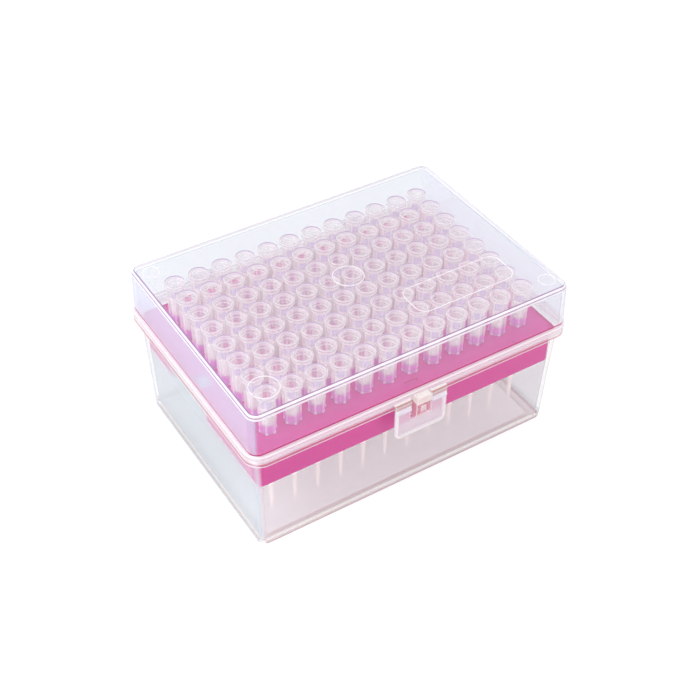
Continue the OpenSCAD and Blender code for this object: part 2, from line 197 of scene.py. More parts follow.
def banded(path, places, bands, blend=0.07):
    """Adds how milky the plastic is to each point of a softened outline. A
    band is (outline point, from, to, value), with its ends measured in mm
    along the outline. A value over 0.5 whitens: haze on walls, a painted
    highlight on rounded edges; a value under 0 makes a dark line, painted shade."""
    far = [0.0]
    for (x0, z0, _), (x1, z1, _) in zip(path, path[1:]):
        far.append(far[-1] + math.hypot(x1 - x0, z1 - z0))
    spans = [(far[places[i]] + a, far[places[i]] + b, value) for i, a, b, value in bands]
    stops = sorted(set(far) | {s for a, b, _ in spans for s in (a - blend, a, b, b + blend)
                               if 0 < s < far[-1]})
    result, k = [], 0
    for s in stops:
        while k < len(far) - 2 and s > far[k + 1]:
            k += 1
        t = (s - far[k]) / max(far[k + 1] - far[k], 1e-9)
        milk_and_light = sum(value * max(0.0, min(1.0, (s - a) / blend + 1, (b - s) / blend + 1))
                   for a, b, value in spans)
        result.append((*(u + (v - u) * t for u, v in zip(path[k], path[k + 1])), milk_and_light))
    return result


def walled(name, points, bands=(), steps=4, turns=9, corner_highlight=0.0):
    """A closed shell of rounded rectangles, one for each point of an outline.
    Its vertical corners can carry a painted highlight, strongest on the left
    and the front. Dark lines, painted shade, show on the left and the front,
    and turn into white ones, painted highlights, on the right and the back."""
    bm = bmesh.new()
    milky = bm.verts.layers.float.new("milk_and_light")
    loops = []
    rings = banded(*soften(points, steps), bands)
    for number, (x, z, corner, milk_and_light) in enumerate(rings):
        corner_highlight_here = corner_highlight if 0 < number < len(rings) - 1 else 0
        loop = []
        for quarter in range(4):
            side_x = 1 if quarter in (0, 3) else -1
            side_y = 1 if quarter in (0, 1) else -1
            for k in range(turns + 1):
                a = math.pi / 2 * (quarter + k / turns)
                # 1 on the left and the front, where the dark lines and the corner highlight are painted
                # strongest
                left_front_shading = max(0.0, min(1.0, 0.5 - 1.2 * math.cos(a - math.pi / 4)))
                crest = max(0.0, 1 - abs(k - turns / 2) / (turns / 4))
                shown = milk_and_light if milk_and_light >= 0 else FAR_HIGHLIGHT + (milk_and_light - FAR_HIGHLIGHT) * left_front_shading
                vert = bm.verts.new((
                    (side_x * (x - corner) + corner * math.cos(a)) * MM,
                    (side_y * (x - NARROWER - corner) + corner * math.sin(a) + MIDDLE) * MM,
                    z * MM))
                vert[milky] = shown + corner_highlight_here * crest * (0.1 + 0.9 * left_front_shading)
                loop.append(vert)
        loops.append(loop)
    for low, high in zip(loops, loops[1:]):
        for i in range(len(low)):
            j = (i + 1) % len(low)
            bm.faces.new((low[i], low[j], high[j], high[i]))
    bm.faces.new(loops[0][::-1])
    bm.faces.new(loops[-1])
    bmesh.ops.recalc_face_normals(bm, faces=bm.faces)
    return made(name, bm)


def made(name, bm):
    """Turns a bmesh into an object in the scene."""
    mesh = bpy.data.meshes.new(name)
    bm.to_mesh(mesh)
    bm.free()
    piece = bpy.data.objects.new(name, mesh)
    scene.collection.objects.link(piece)
    return piece


def smoothed(piece, angle=32):
    """Smooth faces, with edges that stay crisp past an angle."""
    piece.data.shade_smooth()
    piece.data.set_sharp_from_angle(angle=math.radians(angle))
    even = piece.modifiers.new("even", "WEIGHTED_NORMAL")
    even.keep_sharp = True


def bar(bm, outline, x0, x1, edge=0.0, steps=2, finish=-1):
    """Adds a bar along X with an outline in Y and Z, and round edges that can
    have a finish of their own."""
    ends = [[bm.verts.new((x * MM, (y + MIDDLE) * MM, z * MM)) for y, z in outline] for x in (x0, x1)]
    faces = [bm.faces.new(ends[0][::-1]), bm.faces.new(ends[1])]
    for i in range(len(outline)):
        j = (i + 1) % len(outline)
        faces.append(bm.faces.new((ends[0][i], ends[0][j], ends[1][j], ends[1][i])))
    bmesh.ops.recalc_face_normals(bm, faces=faces)
    if edge > 0:
        rims = dict.fromkeys(e for f in faces for e in f.edges if e.calc_face_angle(0) > 0.5)
        bmesh.ops.bevel(bm, geom=list(rims), offset=edge * MM, segments=steps, profile=0.5,
                        affect="EDGES", clamp_overlap=True, material=finish)


def arc(y, z, radius, first, last, steps):
    """Points on an arc in Y and Z, with angles in degrees."""
    return [(y + radius * math.cos(math.radians(first + (last - first) * k / steps)),
             z + radius * math.sin(math.radians(first + (last - first) * k / steps)))
            for k in range(steps + 1)]


tub = walled("tub", [
    (53.8, 0.5, 0.6, 0), (54.6, 0.5, 0.8, 0.3), (55.2, 0, 1.2, 0.3), (58.85, 0, 3.5, 1.0),
    (60.1, RIM_UNDER, 3.5, 0.6), (RIM_X, RIM_UNDER, 5.9, 0.4), (RIM_X, SEAM, 5.9, 0.35),
    (59.5, SEAM, 2.9, 0.2), (59.5, LEDGE, 2.9, 0.15), (58.8, LEDGE, 2.2, 0.3),
    (57.55, FLOOR, 2.2, 1.2), (56.0, FLOOR, 0.7, 0)],
    # the foot, its corner, under the rim, the rim's foot, face and top, the ledge, and
    #  the inner wall from the skirt down. The whiter bands on the foot and the rim's edges
    #  are partly haze and partly painted highlight, the dark band at the rim's top is a
    #  painted seam shadow, and the inner wall's band is haze.
    bands=[(2, -0.4, 0.4, 0.4), (3, -1.2, 1.9, 0.5), (4, -0.35, 0.3, 0.2), (5, -0.2, 0.85, 0.7),
           (6, -0.7, -0.05, -0.8), (7, -2.2, 0.2, 0.75), (8, -0.15, 0.6, 0.3), (9, 13.7, 60, 0.31)],
    corner_highlight=0.65)

haze_group = bpy.data.node_groups.new("moulded_haze", "ShaderNodeTree")
for socket, low, high, value in (("Facing", 0, 1, 0), ("Clear", 0, 1, 0.1), ("Grazing", 0, 1, 0.6),
                                 ("Streaks", 0, 1, 0.1), ("Milk_and_light", -1, 1, 0)):
    made_socket = haze_group.interface.new_socket(socket, in_out="INPUT", socket_type="NodeSocketFloat")
    made_socket.default_value, made_socket.min_value, made_socket.max_value = value, low, high
haze_group.interface.new_socket("Place", in_out="INPUT", socket_type="NodeSocketVector")
haze_group.interface.new_socket("Tint", in_out="INPUT", socket_type="NodeSocketColor")
haze_group.interface.new_socket("Line", in_out="INPUT", socket_type="NodeSocketColor")
haze_group.interface.new_socket("Cover", in_out="OUTPUT", socket_type="NodeSocketFloat")
haze_group.interface.new_socket("Colour", in_out="OUTPUT", socket_type="NodeSocketColor")
haze_group.interface.new_socket("Shine", in_out="OUTPUT", socket_type="NodeSocketFloat")
haze_group.interface.new_socket("Height", in_out="OUTPUT", socket_type="NodeSocketFloat")


def blended(tree, factor, first, second):
    """A colour mixed from two sockets or colours."""
    node = tree.nodes.new("ShaderNodeMix")
    node.data_type = "RGBA"
    tree.links.new(factor, node.inputs["Factor"])
    for socket, value in (("A", first), ("B", second)):
        if isinstance(value, tuple):
            node.inputs[socket].default_value = (*value, 1)
        else:
            tree.links.new(value, node.inputs[socket])
    return node.outputs["Result"]


given = haze_group.nodes.new("NodeGroupInput")
result = haze_group.nodes.new("NodeGroupOutput")
flow = haze_group.nodes.new("ShaderNodeMapping")
flow.inputs["Scale"].default_value = (18, 18, 70)
haze_group.links.new(given.outputs["Place"], flow.inputs["Vector"])
cloud = haze_group.nodes.new("ShaderNodeTexNoise")
cloud.inputs["Scale"].default_value = 1.0
cloud.inputs["Detail"].default_value = 3
haze_group.links.new(flow.outputs[0], cloud.inputs["Vector"])
grain = haze_group.nodes.new("ShaderNodeTexNoise")
grain.inputs["Scale"].default_value = 900
haze_group.links.new(given.outputs["Place"], grain.inputs["Vector"])
speck = maths(haze_group, "SUBTRACT", grain.outputs["Fac"], 0.5)
edge = maths(haze_group, "POWER", given.outputs["Facing"], 3.0)
edge = maths(haze_group, "MULTIPLY", edge, given.outputs["Grazing"])
streak = maths(haze_group, "SUBTRACT", cloud.outputs["Fac"], 0.5)
streak = maths(haze_group, "MULTIPLY", streak, given.outputs["Streaks"])
cover = maths(haze_group, "ADD", given.outputs["Clear"], edge)
cover = maths(haze_group, "ADD", cover, streak)
cover = maths(haze_group, "MULTIPLY_ADD", speck, given.outputs["Streaks"], cover)
cover = maths(haze_group, "ADD", cover, maths(haze_group, "ABSOLUTE", given.outputs["Milk_and_light"]))
cover = maths(haze_group, "MINIMUM", maths(haze_group, "MAXIMUM", cover, 0.0), 0.98)
# milk over 0.5 whitens the colour, for haze and for painted highlight bands; milk under 0 mixes in the Line
# colour, a painted dark line
white = maths(haze_group, "MULTIPLY_ADD", given.outputs["Milk_and_light"], 4.0, -2.0)
white = maths(haze_group, "MAXIMUM", maths(haze_group, "MINIMUM", white, 1.0), 0.0)
dark = maths(haze_group, "MULTIPLY", given.outputs["Milk_and_light"], -2.5)
dark = maths(haze_group, "MAXIMUM", maths(haze_group, "MINIMUM", dark, 1.0), 0.0)
shade = blended(haze_group, white, given.outputs["Tint"], (0.97, 0.96, 0.97))
shade = blended(haze_group, dark, shade, given.outputs["Line"])
haze_group.links.new(shade, result.inputs["Colour"])
haze_group.links.new(cover, result.inputs["Cover"])
shine = maths(haze_group, "POWER", given.outputs["Facing"], 5.0)
shine = maths(haze_group, "MULTIPLY_ADD", shine, 0.6, 0.014)
haze_group.links.new(shine, result.inputs["Shine"])
haze_group.links.new(grain.outputs["Fac"], result.inputs["Height"])

# how much of the ends' painted window light the right end has, and how strongly the painted glow shines
RIGHT_END_LIGHT, PAINTED_GLOW = 0.2, 0.22


def see_through(name, tint, clear, grazing, streaks, roughness, gloss, bump=0.02, cover=None,
                line=(0.5, 0.19, 0.17), ends=None, zones=(), shade=0.4, deep_below=-1.0,
                far_line=False, upper_line=None, lit=None):
    """A milky plastic: what lies behind shows through a haze that thickens
    where the surface turns away, under a thin mirror of the room. Light that
    the haze scatters mostly goes on inwards, so only a share of it shades,
    and all of it below one height.

    cover       more haze, as a mask made from the place
    line        colour of the dark lines, painted shade
    ends        (tint, more haze) of the end walls, painted window light
    zones       (low, high, tint, more haze) between two heights
    far_line    the painted dark lines show only on the far side, seen from within
    upper_line  (height, colour) of the painted dark lines above a height
    lit         where the plastic gets a painted glow, as a mask"""
    finish = bpy.data.materials.new(name)
    finish.use_nodes = True
    tree = finish.node_tree
    tree.nodes.clear()
    place = tree.nodes.new("ShaderNodeTexCoord")
    turned = tree.nodes.new("ShaderNodeLayerWeight")
    milk_and_light = tree.nodes.new("ShaderNodeAttribute")
    milk_and_light.attribute_name = "milk_and_light"
    haze = tree.nodes.new("ShaderNodeGroup")
    haze.node_tree = haze_group
    haze.inputs["Clear"].default_value = clear
    haze.inputs["Grazing"].default_value = grazing
    haze.inputs["Streaks"].default_value = streaks
    haze.inputs["Tint"].default_value = (*tint, 1)
    haze.inputs["Line"].default_value = (*line, 1)
    tree.links.new(turned.outputs["Facing"], haze.inputs["Facing"])
    milky = milk_and_light.outputs["Fac"]
    if far_line:
        side_seen = tree.nodes.new("ShaderNodeNewGeometry")
        darkest = maths(tree, "MULTIPLY", side_seen.outputs["Backfacing"], -1.0)
        milky = maths(tree, "MAXIMUM", milky, darkest)
    tree.links.new(milky, haze.inputs["Milk_and_light"])
    tree.links.new(place.outputs["Object"], haze.inputs["Place"])
    body = tree.nodes.new("ShaderNodeBsdfPrincipled")
    tree.links.new(haze.outputs["Colour"], body.inputs["Base Color"])
    body.inputs["Roughness"].default_value = roughness
    body.inputs["IOR"].default_value = 1.49
    glow_through = tree.nodes.new("ShaderNodeBsdfTranslucent")
    tree.links.new(haze.outputs["Colour"], glow_through.inputs["Color"])
    scattered = tree.nodes.new("ShaderNodeMixShader")
    scattered.inputs[0].default_value = 0.4
    clear_part = tree.nodes.new("ShaderNodeBsdfTransparent")
    wall_mix = tree.nodes.new("ShaderNodeMixShader")
    mirror = tree.nodes.new("ShaderNodeBsdfGlossy")
    mirror.inputs["Roughness"].default_value = gloss
    if bump > 0:
        relief = tree.nodes.new("ShaderNodeBump")
        relief.inputs["Strength"].default_value = bump
        relief.inputs["Distance"].default_value = 0.0005
        tree.links.new(haze.outputs["Height"], relief.inputs["Height"])
        tree.links.new(relief.outputs[0], body.inputs["Normal"])
        tree.links.new(relief.outputs[0], mirror.inputs["Normal"])
    skin = tree.nodes.new("ShaderNodeMixShader")
    out = tree.nodes.new("ShaderNodeOutputMaterial")
    tree.links.new(body.outputs[0], scattered.inputs[1])
    tree.links.new(glow_through.outputs[0], scattered.inputs[2])
    share, hue = haze.outputs["Cover"], None
    at = tree.nodes.new("ShaderNodeSeparateXYZ")
    tree.links.new(place.outputs["Object"], at.inputs[0])
    if upper_line is not None:
        high_up = maths(tree, "GREATER_THAN", at.outputs["Z"], upper_line[0] * MM)
        tree.links.new(blended(tree, high_up, line, upper_line[1]), haze.inputs["Line"])
    # painted window light: both end walls get a cool tint, and the left one most of the extra haze
    if ends is not None:
        parts = tree.nodes.new("ShaderNodeSeparateXYZ")
        tree.links.new(place.outputs["Normal"], parts.inputs[0])
        end = maths(tree, "MULTIPLY_ADD", maths(tree, "ABSOLUTE", parts.outputs["X"]), 5.0, -3.0)
        end = maths(tree, "MINIMUM", maths(tree, "MAXIMUM", end, 0.0), 1.0)
        hue = blended(tree, end, tint, ends[0])
        left = maths(tree, "LESS_THAN", at.outputs["X"], 0.0)
        more = maths(tree, "MULTIPLY_ADD", left, (1 - RIGHT_END_LIGHT) * ends[1], RIGHT_END_LIGHT * ends[1])
        share = maths(tree, "MULTIPLY_ADD", end, more, share)
    for low, high, colour, extra in zones:
        inside = maths(tree, "COMPARE", at.outputs["Z"], (low + high) / 2 * MM, (high - low) / 2 * MM)
        hue = blended(tree, inside, tint if hue is None else hue, colour)
        share = maths(tree, "MULTIPLY_ADD", inside, extra, share)
    if hue is not None:
        tree.links.new(hue, haze.inputs["Tint"])
    # a painted glow, as emission, where the mask says
    if lit is not None:
        tree.links.new(lit(tree, place), body.inputs["Emission Color"])
        body.inputs["Emission Strength"].default_value = PAINTED_GLOW
    if cover is not None:
        share = maths(tree, "MINIMUM", maths(tree, "ADD", share, cover(tree, place)), 0.98)
    ray = tree.nodes.new("ShaderNodeLightPath")
    deep = maths(tree, "LESS_THAN", at.outputs["Z"], deep_below * MM)
    weaker = maths(tree, "MULTIPLY_ADD", deep, 1.0 - shade, shade - 1.0)
    shading = maths(tree, "MULTIPLY_ADD", ray.outputs["Is Shadow Ray"], weaker, 1.0)
    share = maths(tree, "MULTIPLY", share, shading)
    tree.links.new(share, wall_mix.inputs[0])
    tree.links.new(clear_part.outputs[0], wall_mix.inputs[1])
    tree.links.new(scattered.outputs[0], wall_mix.inputs[2])
    tree.links.new(haze.outputs["Shine"], skin.inputs[0])
    tree.links.new(wall_mix.outputs[0], skin.inputs[1])
    tree.links.new(mirror.outputs[0], skin.inputs[2])
    tree.links.new(skin.outputs[0], out.inputs["Surface"])
    return finish


SKIRT, DECK_UNDER = 27.9, 40.6
NOTCH_FROM, NOTCH_TO, NOTCH_TOP = -4.7, 19.9, DECK_UNDER - 0.2


def notch_cover(tree, place):
    """Where the rack's skirt is notched, no pink lies against the wall."""
    parts = tree.nodes.new("ShaderNodeSeparateXYZ")
    tree.links.new(place.outputs["Object"], parts.inputs[0])
    end = maths(tree, "GREATER_THAN", maths(tree, "ABSOLUTE", parts.outputs["X"]), 57.3 * MM)
    along = maths(tree, "COMPARE", parts.outputs["Y"],
                  ((NOTCH_FROM + NOTCH_TO) / 2 + MIDDLE) * MM, (NOTCH_TO - NOTCH_FROM) / 2 * MM)
    high = maths(tree, "COMPARE", parts.outputs["Z"],
                 (SKIRT + NOTCH_TOP) / 2 * MM, (NOTCH_TOP - SKIRT) / 2 * MM)
    beside = maths(tree, "MULTIPLY", end, along)
    return maths(tree, "MULTIPLY", beside, maths(tree, "MULTIPLY", high, 0.25))


# line is the colour of the painted seam shadow, ends give the end walls painted window light, and the zone
# is a darker brownish band along the bottom edge, painted shade at the foot
tub_plastic = see_through("tub_plastic", (0.84, 0.71, 0.78), 0.01, 0.2, 0.03, 0.35, 0.16, 0.05, notch_cover,
                          line=(0.6, 0.25, 0.22), ends=((0.72, 0.82, 0.88), 0.16),
                          zones=[(-0.1, 0.3, (0.62, 0.44, 0.4), 0.35)], shade=0.1)
tub.data.materials.append(tub_plastic)
smoothed(tub)
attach(tub, "base_body")
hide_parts("base")

# ---------------------------------------------------------------- catch
# A square block moulded on the front of the tub's rim, cored out from above
# and in front. The flap's window drops over it and holds the lid shut.
LATCH_X, CATCH_HALF = -0.5, 2.75


def cut_away(piece, cutter, keep_finish=False):
    """Cuts one closed shape out of another."""
    cut = piece.modifiers.new("cut", "BOOLEAN")
    cut.operation, cut.solver, cut.object = "DIFFERENCE", "EXACT", cutter
    if keep_finish:
        cut.material_mode = "TRANSFER"
    depsgraph = bpy.context.evaluated_depsgraph_get()
    mesh = bpy.data.meshes.new_from_object(piece.evaluated_get(depsgraph))
    piece.modifiers.clear()
    old = piece.data
    piece.data = mesh
    bpy.data.meshes.remove(old)
    bpy.data.objects.remove(cutter)


def block(bm, low, high):
    """A plain cutter block between two corners."""
    corners = [bm.verts.new((x * MM, (y + MIDDLE) * MM, z * MM))
               for x in (low[0], high[0]) for y in (low[1], high[1]) for z in (low[2], high[2])]
    for a, b, c, d in ((0, 1, 3, 2), (4, 6, 7, 5), (0, 4, 5, 1), (2, 3, 7, 6), (0, 2, 6, 4), (1, 5, 7, 3)):
        bm.faces.new((corners[a], corners[b], corners[c], corners[d]))


catch_left, catch_right = LATCH_X - CATCH_HALF, LATCH_X + CATCH_HALF
catch_plastic = see_through("catch_plastic", (0.88, 0.6, 0.58), 0.3, 0.4, 0.1, 0.3, 0.1)
catch_head_plastic = see_through("catch_head_plastic", (0.9, 0.88, 0.82), 0.55, 0.4, 0.1, 0.3, 0.1)
# the whiter plastic of rounded and cut edges, the bead and the hinge roll: a painted highlight
edge_highlight_plastic = see_through("edge_highlight_plastic", (0.98, 0.97, 0.96), 0.72, 0.2, 0.05, 0.25, 0.1)
bm = bmesh.new()
bar(bm, [(-42.6, 34.3), (-43.1, 35.6), (-46.2, 35.6), (-47.15, 37.2), (-47.15, 42.5), (-42.6, 42.5)],
    catch_left, catch_right, 0.22, finish=1)
catch = made("catch", bm)
catch.data.materials.append(catch_plastic)
catch.data.materials.append(edge_highlight_plastic)
bm = bmesh.new()
block(bm, (LATCH_X - 1.0, -48, 38.2), (LATCH_X + 1.0, -46.8, 40.6))
bmesh.ops.recalc_face_normals(bm, faces=bm.faces)
catch_cutter = made("catch_cutter", bm)
catch_cutter.data.materials.append(edge_highlight_plastic)
cut_away(catch, catch_cutter, keep_finish=True)
bm = bmesh.new()
bar(bm, [(-42.6, 42.3), (-47.6, 42.3), (-47.6, 45.1), (-44.75, 45.1), (-44.75, 42.6), (-42.6, 42.6)],
    catch_left, catch_right, 0.25, 3, finish=1)
catch_head = made("catch_head", bm)
catch_head.data.materials.append(catch_head_plastic)
catch_head.data.materials.append(edge_highlight_plastic)
bm = bmesh.new()
block(bm, (catch_left + 0.8, -46.7, 44.6), (catch_right - 0.7, -45.3, 45.6))
block(bm, (catch_left + 0.8, -47.3, 44.85), (catch_right - 0.5, -46.95, 45.6))
bmesh.ops.recalc_face_normals(bm, faces=bm.faces)
head_cutter = made("catch_head_cutter", bm)
head_cutter.data.materials.append(edge_highlight_plastic)
cut_away(catch_head, head_cutter, keep_finish=True)
for piece in (catch, catch_head):
    smoothed(piece)
    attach(piece, "base_body")

# ---------------------------------------------------------------- hinge pins
# Two pairs of lugs moulded on the back of the tub, each pair with a pin
# across it. The lid's hooks snap over the pins and turn on them.
PIN_Y, PIN_R, HINGE_X = 47.2, 1.2, 32.0
bm = bmesh.new()
for side in (-1, 1):
    for lug in (-1, 1):
        x = side * HINGE_X + lug * 5.0
        bar(bm, [(41.6, 35.1), (44.6, 39.1)] + arc(PIN_Y, SEAM, 1.9, -30, 150, 10) + [(43.6, 41.1)],
            x - 0.8, x + 0.8, 0.2)
    bar(bm, arc(PIN_Y, SEAM, PIN_R, 0, 345, 23), side * HINGE_X - 4.3, side * HINGE_X + 4.3)
lugs = made("hinge_lugs", bm)
lugs.data.materials.append(tub_plastic)
smoothed(lugs)
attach(lugs, "base_body")

# ---------------------------------------------------------------- rack
# A pink tray in solid-coloured polypropylene. Its lip lies on the ledge in the
# tub's rim, its skirt stiffens it, and each of its holes holds one tip.
DECK, SKIRT_X = 42.4, 58.2
PITCH, COLUMNS, ROWS = 9.0, 12, 8
HOLE_R, HOLE_LIP = 2.5, 0.3
END_HOLE_X, END_HOLE_Y, END_HOLE_HALF_X, END_HOLE_HALF_Y = 56.6, -0.9, 2.1, 3.3
rack = walled("rack", [
    (57.0, DECK, 1.2, 0), (59.3, DECK, 2.7, 0.25), (59.3, LEDGE, 2.7, 0.15), (SKIRT_X, LEDGE, 2.0, 0.2),
    (SKIRT_X, SKIRT, 2.0, 0.25), (57.0, SKIRT, 0.8, 0.25), (57.0, DECK_UNDER, 0.8, 0.4),
    (56.0, DECK_UNDER, 0.3, 0)],
    # the lip's edge, deeper pink as a painted shadow line, and the skirt's lower edge, whitened as painted
    # light
    bands=[(1, -1.2, 0.4, 1.0), (4, -0.1, 0.5, -1.0)])


def tip_places():
    """Middle of each tip, by columns from the left and rows from the front."""
    for i in range(COLUMNS):
        for j in range(ROWS):
            yield i, j, (i - (COLUMNS - 1) / 2) * PITCH, (j - (ROWS - 1) / 2) * PITCH


def column(bm, x, y, rings, around):
    """A closed round shape on a vertical axis, from (radius, height) rings."""
    loops = [[bm.verts.new(((x + r * math.cos(2 * math.pi * k / around)) * MM,
                            (y + MIDDLE + r * math.sin(2 * math.pi * k / around)) * MM, z * MM))
              for k in range(around)] for r, z in rings]
    for low, high in zip(loops, loops[1:]):
        for k in range(around):
            n = (k + 1) % around
            bm.faces.new((low[k], low[n], high[n], high[k]))
    bm.faces.new(loops[0][::-1])
    bm.faces.new(loops[-1])


bm = bmesh.new()
for i, j, x, y in tip_places():
    column(bm, x, y, [(HOLE_R, DECK_UNDER - 2), (HOLE_R, DECK - 0.25), (HOLE_R + HOLE_LIP, DECK + 0.05),
                      (HOLE_R + HOLE_LIP, DECK + 1)], 32)
for side in (-1, 1):
    block(bm, (side * END_HOLE_X - END_HOLE_HALF_X, END_HOLE_Y - END_HOLE_HALF_Y, DECK_UNDER - 1),
          (side * END_HOLE_X + END_HOLE_HALF_X, END_HOLE_Y + END_HOLE_HALF_Y, DECK + 2))
# a shallow slot at the front, and the mark of an ejector pin
block(bm, (-1.2, -38.3, DECK - 0.5), (3.8, -36.3, DECK + 2))
column(bm, 41.9, -39.1, [(0.65, DECK - 0.25), (0.65, DECK + 1)], 16)
bmesh.ops.recalc_face_normals(bm, faces=bm.faces)
cut_away(rack, made("hole_cutter", bm))
# light from below whitens the end holes' own walls
for vert in rack.data.vertices:
    from_hole = (abs(vert.co.x) - END_HOLE_X * MM, vert.co.y - (MIDDLE + END_HOLE_Y) * MM)
    if (abs(from_hole[0]) < (END_HOLE_HALF_X + 0.1) * MM
            and abs(from_hole[1]) < (END_HOLE_HALF_Y + 0.1) * MM):
        light_here = -1.0 if vert.co.z < (DECK - 0.1) * MM else 0.0
        rack.data.attributes["milk_and_light"].data[vert.index].value = light_here
bm = bmesh.new()
for side in (-1, 1):
    block(bm, (side * (SKIRT_X - 0.6) - 2, NOTCH_FROM, SKIRT - 2),
          (side * (SKIRT_X - 0.6) + 2, NOTCH_TO, NOTCH_TOP))
bmesh.ops.recalc_face_normals(bm, faces=bm.faces)
cut_away(rack, made("notch_cutter", bm))

rack_plastic = bpy.data.materials.new("rack_plastic")
rack_plastic.use_nodes = True
tree = rack_plastic.node_tree
body = tree.nodes["Principled BSDF"]
place = tree.nodes.new("ShaderNodeTexCoord")
swirl = tree.nodes.new("ShaderNodeTexNoise")
swirl.inputs["Scale"].default_value = 35
swirl.inputs["Detail"].default_value = 4
tree.links.new(place.outputs["Object"], swirl.inputs["Vector"])
pink = tree.nodes.new("ShaderNodeMix")
pink.data_type = "RGBA"
pink.inputs["A"].default_value = (0.62, 0.03, 0.28, 1)
pink.inputs["B"].default_value = (0.68, 0.045, 0.32, 1)
tree.links.new(swirl.outputs["Fac"], pink.inputs["Factor"])
# milk over 0 deepens the lip's edge to crimson, a painted shadow line; milk under 0 whitens, painted light
# on the skirt's lower edge and the end holes' walls
edge = tree.nodes.new("ShaderNodeAttribute")
edge.attribute_name = "milk_and_light"
lip_shadow_line = maths(tree, "MAXIMUM", edge.outputs["Fac"], 0.0)
deep = blended(tree, lip_shadow_line, pink.outputs["Result"], (0.52, 0.0, 0.16))
painted_light = maths(tree, "MAXIMUM", maths(tree, "MULTIPLY", edge.outputs["Fac"], -0.85), 0.0)
tree.links.new(blended(tree, painted_light, deep, (0.86, 0.9, 0.88)), body.inputs["Base Color"])
body.inputs["Roughness"].default_value = 0.38
body.inputs["IOR"].default_value = 1.49
body.inputs["Specular IOR Level"].default_value = 0.3
body.inputs["Subsurface Weight"].default_value = 0.25
body.inputs["Subsurface Radius"].default_value = (0.004, 0.001, 0.002)
body.inputs["Subsurface Scale"].default_value = 0.6
texture = tree.nodes.new("ShaderNodeTexNoise")
texture.inputs["Scale"].default_value = 1400
tree.links.new(place.outputs["Object"], texture.inputs["Vector"])
relief = tree.nodes.new("ShaderNodeBump")
relief.inputs["Strength"].default_value = 0.08
relief.inputs["Distance"].default_value = 0.0003
tree.links.new(texture.outputs["Fac"], relief.inputs["Height"])
tree.links.new(relief.outputs[0], body.inputs["Normal"])
rack.data.materials.clear()
rack.data.materials.append(rack_plastic)
smoothed(rack)
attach(rack, "base_body")
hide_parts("rack")

# ---------------------------------------------------------------- tips
# Slim disposable pipette tips, each moulded in one shot of polypropylene: a
# rim, a thin socket, six ribs that stand on the deck, and a long stem. A
# white porous plug is pressed into each as a filter.
TIP_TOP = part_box("tips_column_1")[1].z / MM
RIBS, RIB_HALF, FOOT_R = 6, 0.3, 3.02
FOOT_UNDER, STEM_TOP = -16.5, -18.5
# (height from the rim, radius between the ribs, radius at a rib, milk between, milk on the rib);
#  below the rim the milk paints a dark line, painted shade, between white bands that are
#  painted highlights, and the ribs' feet get a painted highlight
OUTSIDE = [(0.0, 3.46, 3.46, 0.1, 0.1), (-0.04, 3.54, 3.54, 0.6, 0.6), (-0.16, 3.62, 3.62, 0.6, 0.6),
           (-0.24, 3.65, 3.65, -1.0, -1.0), (-0.62, 3.65, 3.65, -1.0, -1.0),
           (-0.72, 3.65, 3.65, 0.05, 0.05), (-1.4, 3.64, 3.64, 0.4, 0.4),
           (-1.58, 3.5, 3.5, 0.4, 0.4), (-1.7, 3.0, 3.12, 0.1, 0.1),
           (-2.0, 2.95, 3.06, 0.0, 0.2), (-5.0, 2.93, 3.05, 0.0, 0.2), (-5.8, 2.34, 3.05, 0.1, 0.25),
           (-8.25, 2.31, 3.05, 0.0, 0.3), (-13.3, 2.26, 2.97, 0.0, 0.3), (-13.6, 2.26, 2.97, 0.0, 0.62),
           (-15.45, 2.24, 2.94, 0.0, 0.62), (-15.6, 2.24, FOOT_R, 0.0, 1.0),
           (-16.4, 2.23, FOOT_R, 0.0, 1.0), (-16.48, 2.23, 2.6, 0.2, 0.9), (STEM_TOP, 2.2, 2.2, 0.1, 0.1),
           (-30.04, 1.3, 1.3, 0.1, 0.1), (-52.5, 0.52, 0.52, 0.0, 0.0), (-52.7, 0.45, 0.45, 0.1, 0.1)]
# (height from the rim, bore radius, milk; the whiter rings in the bore are partly haze and partly painted
# highlight)
INSIDE = [(0.0, 3.14, 0.1), (-0.08, 2.98, 0.1), (-0.14, 2.9, 0.5), (-0.3, 2.84, 0.5), (-0.4, 2.81, 0.0),
          (-2.2, 2.68, 0.0), (-2.3, 2.66, 0.4), (-2.5, 2.62, 0.4), (-2.65, 2.6, 0.0), (-5.0, 2.5, 0.0),
          (-5.75, 1.99, 0.1), (-5.9, 1.95, 0.0), (-13.3, 1.94, 0.0), (-13.4, 1.58, 0.0),
          (-30.04, 0.9, 0.0), (-52.7, 0.28, 0.0)]
PLUG_TOP, PLUG_END, PLUG_R = -5.8, -13.4, 1.9
BETWEEN, INNER_AROUND, PLUG_AROUND = 3, 28, 20
random.seed(96)


def tip_ring(gap_r, rib_r):
    """Points round a tip at one height: each rib's two feet and two crests,
    then the arc to the next rib."""
    points = []
    for k in range(RIBS):
        middle = 2 * math.pi * (k + 0.5) / RIBS
        half = RIB_HALF * (1.4 if rib_r == FOOT_R else 1.0)
        foot = math.asin(half * 1.15 / gap_r) if gap_r > 1 else 0.29
        crest = math.asin(half / rib_r) if rib_r > 1 else 0.22
        if rib_r <= gap_r + 0.005:
            crest = foot * 0.7
        for angle, r, top in ((middle - foot, gap_r, False), (middle - crest, rib_r, True),
                              (middle + crest, rib_r, True), (middle + foot, gap_r, False)):
            points.append((r * math.cos(angle), r * math.sin(angle), top))
        gap_angle = 2 * math.pi / RIBS - 2 * foot
        for b in range(1, BETWEEN + 1):
            angle = middle + foot + gap_angle * b / (BETWEEN + 1)
            points.append((gap_r * math.cos(angle), gap_r * math.sin(angle), False))
    return points


